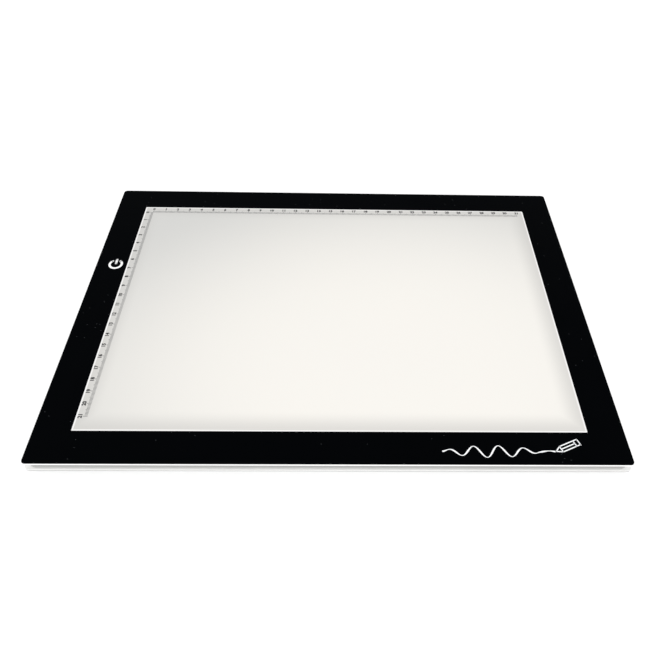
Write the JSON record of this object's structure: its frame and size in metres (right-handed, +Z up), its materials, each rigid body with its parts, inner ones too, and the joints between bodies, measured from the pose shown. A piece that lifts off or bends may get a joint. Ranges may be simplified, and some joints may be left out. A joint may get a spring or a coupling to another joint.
{
  "type": "tracing light box",
  "caption": "Thin flat edge-lit light pad with a black-bordered opal drawing window, printed rulers, a touch power key and a side power jack.",
  "frame": {"origin": "on the table under the middle of the box", "axes": "+X to the right along the long side, +Y to the back, +Z up; the power key is on the left, at -X"},
  "size_m": [0.37, 0.275, 0.009],
  "materials": {
    "border_print": "satin black print on film",
    "opal_acrylic": "smooth opal white",
    "tape": "double-sided tape",
    "white_sheet": "matt white film",
    "clear_acrylic": "clear and polished",
    "strip_board": "white solder mask with small LEDs",
    "frame_plastic": "moulded white",
    "cover_plastic": "moulded white, fine texture",
    "foot_rubber": "matt grey",
    "screw_metal": "zinc plated",
    "control_board_green": "green solder mask",
    "black_component": "moulded black",
    "ferrite": "dark grey",
    "capacitor_ceramic": "tan",
    "connector_plastic": "ivory",
    "spring_metal": "nickel plated",
    "red_wire": "red insulation",
    "black_wire": "black insulation"
  },
  "bodies": {
    "box": {"back_strip_socket": "connector_plastic", "black_lead_back": "black_wire", "black_lead_front": "black_wire", "border_overlay": "border_print", "bottom_cover": "cover_plastic", "control_board": "control_board_green", "cover_screw_1": "screw_metal", "cover_screw_2": "screw_metal", "cover_screw_3": "screw_metal", "cover_screw_4": "screw_metal", "cover_screw_5": "screw_metal", "cover_screw_6": "screw_metal", "cover_screw_7": "screw_metal", "cover_screw_8": "screw_metal", "diffuser_sheet": "white_sheet", "driver_chip": "black_component", "driver_inductor": "ferrite", "frame_rail_back": "frame_plastic", "frame_rail_front": "frame_plastic", "frame_rail_left": "frame_plastic", "frame_rail_right": "frame_plastic", "front_strip_socket": "connector_plastic", "input_capacitor": "capacitor_ceramic", "jack_body": "black_component", "jack_centre_pin": "spring_metal", "led_strip_back": "strip_board", "led_strip_front": "strip_board", "light_guide_plate": "clear_acrylic", "output_capacitor": "capacitor_ceramic", "red_lead_back": "red_wire", "red_lead_front": "red_wire", "reflector_sheet": "white_sheet", "rubber_foot_1": "foot_rubber", "rubber_foot_2": "foot_rubber", "rubber_foot_3": "foot_rubber", "rubber_foot_4": "foot_rubber", "rubber_foot_5": "foot_rubber", "rubber_foot_6": "foot_rubber", "tape_back": "tape", "tape_front": "tape", "tape_left": "tape", "tape_right": "tape", "top_panel": "opal_acrylic", "touch_chip": "black_component", "touch_spring": "spring_metal"},
    "sprung_contact": {"jack_sprung_contact": "spring_metal"}
  },
  "joints": [
    {"name": "sprung_contact_flex", "type": "hinge", "parent": "box", "child": "sprung_contact", "pos_m": [-0.176, 0.09675, 0.00415], "axis": [0, 0, -1], "range_deg": [0, 5], "stiffness_Nm_per_rad": 0.02}
  ]
}
